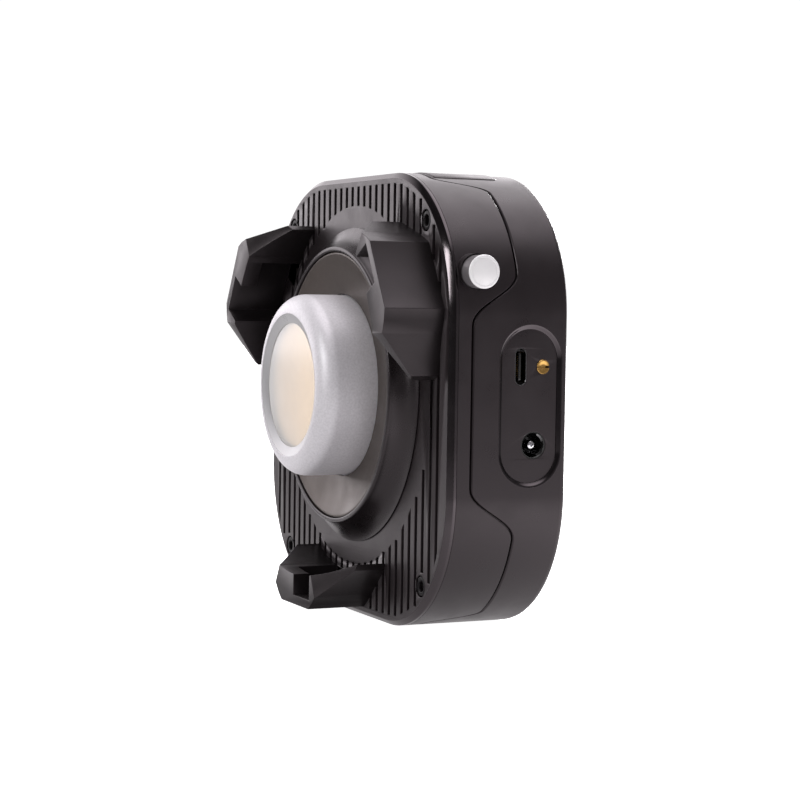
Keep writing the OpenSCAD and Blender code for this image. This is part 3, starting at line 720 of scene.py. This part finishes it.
flare = [(x, -w) for x, w in arc(40.9, 5.9, 5.6, 262, 184, 22)]
lip = [(35.2, -5.75), (35.05, -5.88), (34.85, -5.93), (34.25, -5.93), (34.06, -5.86), (34.0, -5.6)]
collar = [(30, 2.4), (39.95, 2.4), (39.95, 0.0)] + flare + lip + [(34.0, -2), (30, -2)]
fit(turned("flare_collar", collar, "collar", n=256), "body", "collar", "mount_collar")
dish = [(23.3, -2.05), (33.8, -2.05), (33.8, -5.2), (33.74, -5.42), (33.55, -5.5), (33.3, -5.48)] + \
       [(33.0 - 9.7 * t, -(5.4 - 2.0 * t ** 0.75)) for t in [i / 12 for i in range(13)]]
fit(turned("trim_disc", dish, "trim", n=256), "body", "trim", "trim_ring")
LAMP_R, ROUND = 23, 4.8
barrel = [(19.6, -0.4), (28, -0.4), (28, -1.95), (LAMP_R, -1.95)] + \
         [(x, -w) for x, w in arc(LAMP_R - ROUND, LAMP_H - ROUND, ROUND, 0, 90, 20)] + \
         [(18.12, -LAMP_H + 0.06), (18.1, -LAMP_H + 0.2), (18.1, -15.6), (19.6, -15.6)]
fit(turned("lamp_barrel", barrel, "silver", n=256), "body", "silver", "lamp_collar")
bezel = [(18.08, -LAMP_H + 0.14), (18.08, -16.9), (15.75, -16.9), (15.7, -16.98), (15.74, -17.1),
         (15.9, -17.2)]
fit(turned("lamp_bezel", bezel, "bezel", n=256), "body", "silver", "reflector")
pane = [(0.01, -16.93), (14.5, -16.93), (15.6, -16.9), (17.6, -16.86), (17.95, -16.75), (18, -16.5),
        (17.9, -15.9), (0.01, -15.86)]
fit(turned("cover_pane", pane, "diffuser", n=128, closed=False), "body", "diffuser", "front_glass")
phosphor = [(0.01, -15.32), (12, -15.32), (14.9, -15.3), (15.3, -15.2), (15.4, -14.95), (15.4, -14.45),
            (0.01, -14.45)]
fit(turned("phosphor_disc", phosphor, "emitter", n=128, closed=False), "body", "emitter", "led_emitter")


# ---- Casing ----

def casing(name, profile):
    """Skins the casing: profile(x, z) lists (inset, depth) for each point of the outline."""
    profiles = [profile(x, z) for x, z in body_outline()]
    loops = []
    for k, (inset, _) in enumerate(profiles[0]):
        loops.append([(x, p[k][1], z) for (x, z), p in zip(body_outline(inset), profiles)])
    return rings(name, loops, "casing", closed=True, smooth=40)


RIM_IN = 3.0


def front_profile(x, z):
    """The front casing, from the plate to the seam."""
    end = seam(x, z) - SEAM_GAP
    start = PLATE_T + 0.02
    return [(WALL, start), (0.12, start), (0.03, start + 0.05), (0, start + 0.14), (0, (start + end) / 2),
            (0, end - 0.2), (0.02, end - 0.1), (0.07, end - 0.03), (0.16, end), (WALL, end)]


def rear_profile(x, z):
    """The rear casing: a tongue that closes the seam's groove, a small chamfer, the side and the rear rim."""
    start = seam(x, z)
    tongue = start - SEAM_GAP + 0.06
    return [(WALL, tongue), (1.0, tongue), (1.0, start),
            (0.4, start), (0.33, start + 0.04), (0.04, start + 0.33), (0, start + 0.42), (0, 22),
            (0, DEPTH - 1.5), (0.04, DEPTH - 0.95), (0.17, DEPTH - 0.5), (0.4, DEPTH - 0.17),
            (0.75, DEPTH - 0.02), (1.1, DEPTH), (2.6, DEPTH), (2.8, DEPTH - 0.05), (2.95, DEPTH - 0.25),
            (RIM_IN, DEPTH - 0.7), (RIM_IN, DEPTH - 2), (WALL, DEPTH - 2)]


front_case = casing("casing_front", front_profile)
rear_case = casing("casing_rear", rear_profile)

# Button and its socket in the side.
cap_back, cap_face = span("button_cap", X)
button_at = middle("button_cap", Y, Z)
button_r = (span("button_cap", Z)[1] - span("button_cap", Z)[0]) / 2
hole_r = button_r + 0.26
carve(front_case, rod("hole", hole_r, HALF_W - 4, HALF_W + 2, "x", button_at, 96))
liner_r = hole_r - 0.08
socket = [(hole_r + 0.002, HALF_W), (hole_r - 0.03, HALF_W - 0.02), (hole_r - 0.07, HALF_W - 0.08),
          (liner_r, HALF_W - 0.2), (liner_r, HALF_W - 3.6), (2.1, HALF_W - 3.7), (2.1, HALF_W - 3.9),
          (hole_r + 0.002, HALF_W - 3.9)]
liner = turned("liner", socket, "casing", axis="x", at=button_at, n=96)
fit(settle(join("casing_front", [front_case, liner])), "body", "casing", "front_shell")
stem_back, stem_r = span("button_stem", X)[0], button_r - 0.06
stem = [(0.01, stem_back), (1.5, stem_back), (1.5, HALF_W - 1), (3.2, HALF_W - 1), (3.2, HALF_W - 1.6),
        (stem_r, HALF_W - 1.6), (stem_r, cap_back - 0.24), (button_r - 0.14, cap_back - 0.06),
        (button_r - 0.3, cap_back), (0.01, cap_back)]
fit(turned("release_stem", stem, "stem", axis="x", at=button_at, n=96, closed=False), "release_button",
    "black_plastic", "button_stem")
CAP_ROUND = 0.42
cap_foot = [(0.01, cap_back), (button_r - 0.2, cap_back), (button_r - 0.06, cap_back + 0.05),
            (button_r, cap_back + 0.2)]
cap_groove = [(button_r - 0.62, cap_face), (button_r - 0.68, cap_face - 0.1),
              (button_r - 0.8, cap_face - 0.1), (button_r - 0.9, cap_face - 0.03), (0.01, cap_face - 0.03)]
cap = cap_foot + arc(button_r - CAP_ROUND, cap_face - CAP_ROUND, CAP_ROUND, 0, 84, 8) + cap_groove
fit(turned("release_cap", cap, "silver_cap", axis="x", at=button_at, n=128, closed=False), "release_button",
    "silver", "button_cap")

# Port recess and its panel.
PORT, USB = middle("port_plate", Y, Z), middle("usb_shell", Y, Z)
JACK, PIN = middle("jack_body", Y, Z), middle("contact_pin", Y, Z)
PORT_HALF = [(high - low) / 2 + 0.1 for low, high in (span("port_plate", Y), span("port_plate", Z))]
panel_back, panel_face = span("port_plate", X)
LIP = 0.25


def port_ring(grow, x):
    """The outline of the port recess, drawn larger by grow, at depth x."""
    return [(x, y, z) for y, z in stadium(PORT_HALF[0] + grow, PORT_HALF[1] + grow, *PORT, n=40)]


recess = stadium(PORT_HALF[0] + LIP, PORT_HALF[1] + LIP, *PORT, n=40)
carve(rear_case, prism("recess", recess, HALF_W - 4, HALF_W + 2, axis="x"))
lip_low = panel_face + 0.02
lip_profile = [(LIP, HALF_W - 2.9), (LIP, HALF_W - 0.001), (LIP - 0.05, HALF_W), (0.08, HALF_W - 0.02),
               (-0.08, HALF_W - 0.09), (-0.26, HALF_W - 0.22), (-0.5, HALF_W - 0.42), (-0.7, HALF_W - 0.56),
               (-0.84, lip_low + 0.13), (-0.88, lip_low), (-0.06, lip_low), (-0.06, HALF_W - 2.9)]
lip = rings("lip", [port_ring(g, x) for g, x in lip_profile], "bevel", closed=True, smooth=50)
insert_x = -span("top_insert", X)[0] + 0.1
insert_y = [span("top_insert", Y)[0] - 0.1, span("top_insert", Y)[1] + 0.1]
insert_mid = sum(insert_y) / 2
top_hole = rounded(insert_x, (insert_y[1] - insert_y[0]) / 2, 0.9, 0, insert_mid)
carve(rear_case, prism("top_cut", top_hole, TOP - 11.5, TOP + 6.5, axis="z"))
bush = (0, *middle("tripod_bush", Y))
carve(rear_case, rod("bush_cut", 4.65, BOTTOM - 2, BOTTOM + 4, "z", bush, 64))
bush_edge = [(4.66, BOTTOM), (4.45, BOTTOM + 0.04), (4.3, BOTTOM + 0.2), (4.27, BOTTOM + 0.5),
             (4.27, BOTTOM + 3), (4.66, BOTTOM + 3)]
bush_lip = turned("bush_lip", bush_edge, "casing", axis="z", at=bush, n=96)
fit(settle(join("casing_rear", [rear_case, lip, bush_lip])), "body", "casing", "rear_shell")

panel_edge = stadium(PORT_HALF[0] - 0.12, PORT_HALF[1] - 0.12, *PORT, n=40)
panel_holes = [stadium(1.72, 4.62, *USB), circle(3.36, *JACK, n=64), circle(1.62, *PIN, n=48)]
panel = sheet("port_panel", panel_edge, panel_holes, panel_back, panel_face, 0.12, "casing", axis="x")
fit(panel, "body", "casing", "port_plate")
usb_back, usb_face = span("usb_shell", X)


def usb_ring(half, x):
    """A stadium round the USB socket, half wide from its middle, at depth x."""
    return [(x, y, z) for y, z in stadium(half, half + 2.87, *USB, n=20)]


usb_profile = [(1.58, usb_back), (1.63, usb_back + 0.1), (1.63, usb_face - 0.1), (1.57, usb_face),
               (1.4, usb_face), (1.32, usb_face - 0.1), (1.3, usb_face - 0.3), (1.3, usb_back + 1),
               (0.2, usb_back + 1), (0.2, usb_back)]
usb = rings("usb_rim", [usb_ring(half, x) for half, x in usb_profile], "nickel", closed=True)
fit(usb, "body", "chrome", "usb_shell")
tongue_back, tongue_face = span("usb_tongue", X)
blade_edge = rounded((tongue_face - tongue_back) / 2, 3.3, 0.5, *middle("usb_tongue", X), USB[1], 5)
blade = sheet("blade", blade_edge, [], USB[0] - 0.33, USB[0] + 0.33, 0.12, "socket")
pads = []
for k in range(-5, 6):
    pad_edge = rounded(1.7, 0.13, 0.1, tongue_face - 2.3, USB[1] + k * 0.5, 2)
    for side in (USB[0] - 0.34, USB[0] + 0.34):
        pads.append(sheet("pad", pad_edge, [], side - 0.03, side + 0.03, 0.02, "brass"))
fit(join("usb_blade", [blade] + pads), "body", "black_plastic", "usb_tongue")
pin_back, pin_face = span("contact_pin", X)
pin = [(0.01, pin_back), (1.45, pin_back), (1.45, pin_face - 0.26), (1.7, pin_face - 0.26),
       (1.7, pin_face - 0.08), (1.62, pin_face), (1.15, pin_face), (0.95, pin_face - 0.08),
       (0.5, pin_face - 0.1), (0.01, pin_face - 0.1)]
contact = turned("contact", pin, "brass", axis="x", at=PIN, n=72, closed=False)
PIN_SLOT = 0.27
carve(contact, block("slot", (pin_face - 1.1, PIN[0] - 2, PIN[1] - PIN_SLOT),
                     (pin_face + 1, PIN[0] + 2, PIN[1] + PIN_SLOT)))
smooth_by(contact, 30)
fit(contact, "body", "brass", "contact_pin")
jack_back, jack_face = span("jack_body", X)
barrel = [(0.01, jack_back), (3.7, jack_back), (3.7, panel_back), (3.27, panel_back),
          (3.27, jack_face - 0.1), (3.2, jack_face), (2.98, jack_face), (2.87, jack_face - 0.12),
          (2.85, jack_back + 1), (0.01, jack_back + 1)]
fit(turned("socket_barrel", barrel, "socket", axis="x", at=JACK, n=96, closed=False), "body", "black_plastic",
    "jack_body")
post_back, post_face = span("jack_pin", X)
post = [(0.01, post_back), (1.0, post_back), (1.0, post_face - 0.6), (0.9, post_face - 0.2),
        (0.65, post_face - 0.02), (0.45, post_face), (0.4, post_face - 0.15), (0.36, post_face - 1.5),
        (0.01, post_face - 1.5)]
fit(turned("socket_pin", post, "chrome", axis="x", at=JACK, n=48, closed=False), "body", "chrome", "jack_pin")


def leaf(a0, a1, front):
    """A bowed contact spring along the socket's wall, from angle a0 to a1 in degrees."""
    verts, faces, n = [], [], 10
    back = jack_back + 1.5
    for k in range(n + 1):
        t = k / n
        x = back + (front - back) * t
        r = 2.68 - 0.3 * math.sin(math.pi * min(1, t * 1.15))
        verts += [(x, y, z) for y, z in arc(*JACK, r, a0, a1, n)]
    for k in range(n):
        for i in range(n):
            a = k * (n + 1) + i
            faces.append((a, a + 1, a + n + 2, a + n + 1))
    obj = new_object("leaf", verts, faces, "chrome", 60)
    solid = obj.modifiers.new("thick", "SOLIDIFY")
    solid.thickness = 0.14 * MM
    solid.offset = 1
    bake(obj)
    smooth_by(obj, 40)
    return obj


leaves = [leaf(18, 62, jack_face - 0.7), leaf(-62, -18, jack_face - 0.7), leaf(150, 210, jack_face - 2.2)]
fit(join("socket_leaves", leaves), "body", "chrome", "jack_springs")

# Vented insert in the top.
INSERT_PROUD, INSERT_GAP, INSERT_EDGE, INSERT_T = 0.3, 0.12, 0.18, 2


def insert_loops():
    """Sections of the insert along X: it follows the curve of the top and has rounded edges."""
    y0, y1 = insert_y[0] + INSERT_GAP, insert_y[1] - INSERT_GAP
    half, e, n = insert_x - INSERT_GAP, INSERT_EDGE, 120
    loops = []
    for k in range(n + 1):
        x = -half + 2 * half * k / n
        end = e if k in (0, n) else 0
        z = MID_Z + outline_height(x, -INSERT_PROUD)
        edge = [(0, INSERT_T - end), (0, e), (e * 0.3, e * 0.3), (e, 0)]
        near = [(x, y0 + end + across, z - end - down) for across, down in edge]
        far = [(x, y1 - end - across, z - end - down) for across, down in edge]
        loops.append(near + far[::-1])
    return loops


insert = rings("vent_insert", insert_loops(), "casing", smooth=40)
VENT_PITCH = 4
for i in range(-6, 7):
    vent = rounded(0.9, 5.6, 0.85, i * VENT_PITCH, insert_mid, 8)
    carve(insert, prism("vent", vent, TOP - 5.5, TOP + 2.5, axis="z"))
smooth_by(insert, 35)
fit(insert, "body", "casing", "top_insert")

# Rear panel, its controls and screws.
VENT_FIELD_R = 27
dials = [middle(node, X, Z) for node in ("brightness_dial", "colour_dial")]
key_at = middle("mode_button", X, Z)
display_at = middle("display_window", X, Z)
vents = [rounded(1.0, math.sqrt(VENT_FIELD_R ** 2 - x * x), 0.95, x, 0, 8)
         for x in (i * VENT_PITCH for i in range(-6, 7))]
rear_holes = [circle(6.75, *at, 72) for at in dials]
rear_holes += [rounded(5.15, 2.65, 0.9, *key_at), rounded(14.1, 5.05, 1.0, *display_at)]
rear_holes += [circle(2.5, sx * REAR_SCREW_X, z, 48) for sx in (-1, 1) for z in REAR_SCREW_Z]
rear_edge = body_outline(RIM_IN + 0.1)
rear = sheet("rear_panel", rear_edge, rear_holes + vents, *span("back_cover", Y), 0.2, "casing")
fit(rear, "body", "casing", "back_cover")
rear_screws = [socket_screw(2.3, DEPTH - 0.4, 20, sx * REAR_SCREW_X, z)
               for sx in (-1, 1) for z in REAR_SCREW_Z]
fit(join("rear_screws", rear_screws), "body", "black_steel", "back_screws")


def knurl(k, r, a):
    """48 ridges on the grip, which is points 3 and 4 of a knob's profile."""
    return r + (0.2 * abs(math.cos(a * 24)) ** 0.7 if k in (3, 4) else 0)


for name, node, body, at in (("knob_left", "brightness_dial", "brightness_knob", dials[0]),
                             ("knob_right", "colour_dial", "colour_knob", dials[1])):
    y0, y1 = span(node, Y)
    knob = [(1.5, y0), (6.0, y0), (6.2, y0 + 0.6), (6.2, y0 + 1.0), (6.2, y1 - 0.9), (6.15, y1 - 0.6),
            (5.9, y1 - 0.2), (5.5, y1), (5.0, y1), (4.7, y1 - 0.18), (0.01, y1 - 0.3), (0.01, y0 + 0.9),
            (1.5, y0 + 0.8)]
    fit(turned(name, knob, "black_plastic", at=at, n=384, radius=knurl, smooth=28), body, "black_plastic",
        node)
key = rounded(4.95, 2.45, 0.8, *key_at, 8)
fit(sheet("mode_key", key, [], *span("mode_button", Y), 0.35, "stem", steps=4), "mode_key", "ceramic",
    "mode_button")
display = rounded(13.85, 4.85, 0.9, *display_at, 8)
fit(sheet("display_pane", display, [], *span("display_window", Y), 0.2, "gloss_black", steps=3), "body",
    "gloss_black", "display_window")

# Tripod bush with a quarter-inch thread: 20 turns to the inch.
THREAD_PITCH = 1.27
bush_low, bush_high = span("tripod_bush", Z)
thread = []
z = bush_low + 0.7
while z < bush_high - 1.8:
    thread += [(2.6, z), (2.75, z + 0.3), (3.05, z + 0.64), (2.75, z + 0.98)]
    z += THREAD_PITCH
mouth = [(4.2, bush_low + 0.25), (4.1, bush_low + 0.1), (3.95, bush_low + 0.05), (3.25, bush_low + 0.05),
         (2.65, bush_low + 0.6)]
flange = [(0.01, bush_high), (4.9, bush_high), (4.9, bush_high - 1.2), (4.2, bush_high - 1.2)]
fit(turned("tripod_insert", mouth + thread + [(2.6, z), (0.01, z)] + flange, "steel", axis="z", at=bush, n=96,
           smooth=30), "body", "steel", "tripod_bush")


# ---- Springs ----

def helix(name, centre, axis, r, wire, low, high, turns):
    """A coil of wire round a line along axis."""
    steps = 20
    total = int(turns * steps)
    path = []
    for i in range(total + 1):
        a, along = TAU * i / steps, low + wire + (high - low - 2 * wire) * i / total
        path.append(Vector((along, r * math.cos(a), r * math.sin(a))))
    verts, faces, m = [], [], 8
    for i, point in enumerate(path):
        tangent = (path[min(i + 1, total)] - path[max(i - 1, 0)]).normalized()
        out = Vector((0, point.y, point.z)).normalized()
        side = tangent.cross(out)
        for k in range(m):
            b = TAU * k / m
            v = point + wire * (math.cos(b) * out + math.sin(b) * side)
            verts.append(placed(centre[0] + v.y, centre[1] + v.z, v.x, axis))
    for i in range(total):
        for k in range(m):
            a, b = i * m, (i + 1) * m
            faces.append((a + k, a + (k + 1) % m, b + (k + 1) % m, b + k))
    faces += [tuple(range(m)), tuple(range(total * m, total * m + m))]
    return new_object(name, verts, faces, "spring_steel", 60)


spring_y = span("carrier_springs", Y)
coils = []
for a in POST_ANGLES:
    post_at = (POST_R * math.cos(math.radians(a)), POST_R * math.sin(math.radians(a)))
    coils.append(helix("coil", post_at, "y", 2.4, 0.35, *spring_y, 8))
springs = fit(join("return_springs", coils), "body", "spring_steel", "carrier_springs")
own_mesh(springs)
spring_x = span("button_spring", X)
button_coil = helix("button_coil", button_at, "x", 2.3, 0.3, *spring_x, 5.5)
fit(button_coil, "body", "spring_steel", "button_spring")
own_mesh(button_coil)


# ---- Finishes of the CAD nodes kept for the inside ----

for part in frame["record"]["subparts"]:
    obj = frame["nodes"][part["node"]]
    if not obj.hide_render:
        obj.data.materials.clear()
        obj.data.materials.append(M[part["material_slot"]])
        smooth_by(obj, 30)


# ---- Stage ----

FLOOR_Z, FLOOR_HALF = BOTTOM - 0.02, 2500
# Light that the floor gives the object, before and behind it, and how it changes with distance in two rings.
FLOOR_BOUNCE = (0.75, 2.2)
FLOOR_NEAR, FLOOR_FAR = (0.06, 0.12, 0.4, 1), (0.25, 0.6, 1, 0.15)


def stage_material():
    """Pale floor: near white to the camera, with a bounce of its own for the object, stronger behind it."""
    m = bpy.data.materials.new("pale_floor")
    m.use_nodes = True
    tree, nodes, links = m.node_tree, m.node_tree.nodes, m.node_tree.links
    seen = nodes["Principled BSDF"]
    seen.inputs["Base Color"].default_value = (0.92, 0.92, 0.92, 1)
    seen.inputs["Roughness"].default_value = 0.85
    seen.inputs["Specular IOR Level"].default_value = 0.1
    seen.inputs["Emission Color"].default_value = (1, 1, 1, 1)
    seen.inputs["Emission Strength"].default_value = 1.0
    bounce = nodes.new("ShaderNodeEmission")
    bounce.inputs["Color"].default_value = (1, 0.965, 0.985, 1)
    across = nodes.new("ShaderNodeSeparateXYZ")
    where = nodes.new("ShaderNodeTexCoord").outputs["Object"]
    links.new(where, across.inputs[0])
    reach = nodes.new("ShaderNodeVectorMath")
    reach.operation = "LENGTH"
    links.new(where, reach.inputs[0])
    strength = remap(tree, across.outputs["Y"], -0.1, 0.12, *FLOOR_BOUNCE)
    for ring in (FLOOR_NEAR, FLOOR_FAR):
        strength = computed(tree, "MULTIPLY", strength, remap(tree, reach.outputs["Value"], *ring))
    links.new(strength, bounce.inputs["Strength"])
    surface = mixed(tree, camera_ray(tree), bounce.outputs[0], seen.outputs[0])
    links.new(surface, nodes["Material Output"].inputs["Surface"])
    return m


floor_corners = [(sx * FLOOR_HALF, sy * FLOOR_HALF, FLOOR_Z) for sx, sy in QUARTERS]
floor = new_object("floor", floor_corners, [(0, 1, 2, 3)], None)
floor.data.materials.append(stage_material())
bpy.context.scene.view_settings.view_transform = "Standard"


# Each lobe: the way it lies, the cosines where it starts and is full, and its strength.
WORLD_LOBES = (
    ((0, 0, 1), -1.1, -1.05, 0.07),  # a base that is the same all round
    ((0, 0.15, 1), 0.74, 0.95, 2.5),
    ((0.9, 0.45, 0), 0.3, 0.95, 0.2),
    ((-0.9, -0.4, 0.1), 0.7, 1.0, 2.5),
    ((-0.6, 0.7, 0.35), 0.7, 1.0, 2.2),
)


def studio_world():
    """White to the camera; for the object a bright ceiling, left and rear, and dark round the camera."""
    world = bpy.data.worlds.new("studio")
    bpy.context.scene.world = world
    world.use_nodes = True
    tree, nodes, links = world.node_tree, world.node_tree.nodes, world.node_tree.links
    lit = nodes["Background"]
    lit.inputs["Color"].default_value = (1, 0.955, 0.985, 1)
    direction = nodes.new("ShaderNodeTexCoord").outputs["Generated"]

    def lobe(toward, start, end, amount):
        """Light that grows to amount as a ray turns to face a direction."""
        dot = nodes.new("ShaderNodeVectorMath")
        dot.operation = "DOT_PRODUCT"
        dot.inputs[1].default_value = Vector(toward).normalized()
        links.new(direction, dot.inputs[0])
        return remap(tree, dot.outputs["Value"], start, end, 0, amount, "SMOOTHSTEP")

    total = lobe(*WORLD_LOBES[0])
    for settings in WORLD_LOBES[1:]:
        total = computed(tree, "ADD", total, lobe(*settings))
    links.new(total, lit.inputs["Strength"])
    white = nodes.new("ShaderNodeBackground")
    white.inputs["Color"].default_value = (1, 1, 1, 1)
    white.inputs["Strength"].default_value = 1.05
    surface = mixed(tree, camera_ray(tree), lit.outputs[0], white.outputs[0])
    links.new(surface, nodes["World Output"].inputs["Surface"])


studio_world()


def softbox(name, where, target, size, power):
    """A rectangular lamp that faces its target."""
    light = bpy.data.lights.new(name, "AREA")
    light.shape = "RECTANGLE"
    light.size, light.size_y = size[0] * MM, size[1] * MM
    light.energy = power
    obj = bpy.data.objects.new(name, light)
    obj.location = Vector(where) * MM
    obj.rotation_euler = (Vector(target) * MM - obj.location).to_track_quat("-Z", "Y").to_euler()
    bpy.context.scene.collection.objects.link(obj)


softbox("key", (210, -609, 280), (0, 0, 0), (110, 340), 1.6)
softbox("rim", (-380, 520, 260), (20, 20, 20), (160, 300), 6)


# ---- Camera ----

AZIMUTH, ELEVATION, ROLL = (math.radians(a) for a in (65.118, 2.951, 0.873))
DISTANCE, LENS, SENSOR = 531.734, 92.03787, 36
SHIFT_X, SHIFT_Y = -1.502, -4.044
TARGET = Vector((0, 15, 0))
level = math.cos(ELEVATION)
back = Vector((math.sin(AZIMUTH) * level, -math.cos(AZIMUTH) * level, math.sin(ELEVATION)))
right = Vector((math.cos(AZIMUTH), math.sin(AZIMUTH), 0))
up = back.cross(right)
right, up = (math.cos(ROLL) * right + math.sin(ROLL) * up, -math.sin(ROLL) * right + math.cos(ROLL) * up)
place = (TARGET + back * DISTANCE + right * SHIFT_X + up * SHIFT_Y) * MM
camera_data = bpy.data.cameras.new("camera")
camera_data.sensor_width = SENSOR
camera_data.lens = LENS
camera = bpy.data.objects.new("camera", camera_data)
camera.matrix_world = Matrix(((right.x, up.x, back.x, place.x), (right.y, up.y, back.y, place.y),
                              (right.z, up.z, back.z, place.z), (0, 0, 0, 1)))
bpy.context.scene.collection.objects.link(camera)
bpy.context.scene.camera = camera

bpy.context.view_layer.update()
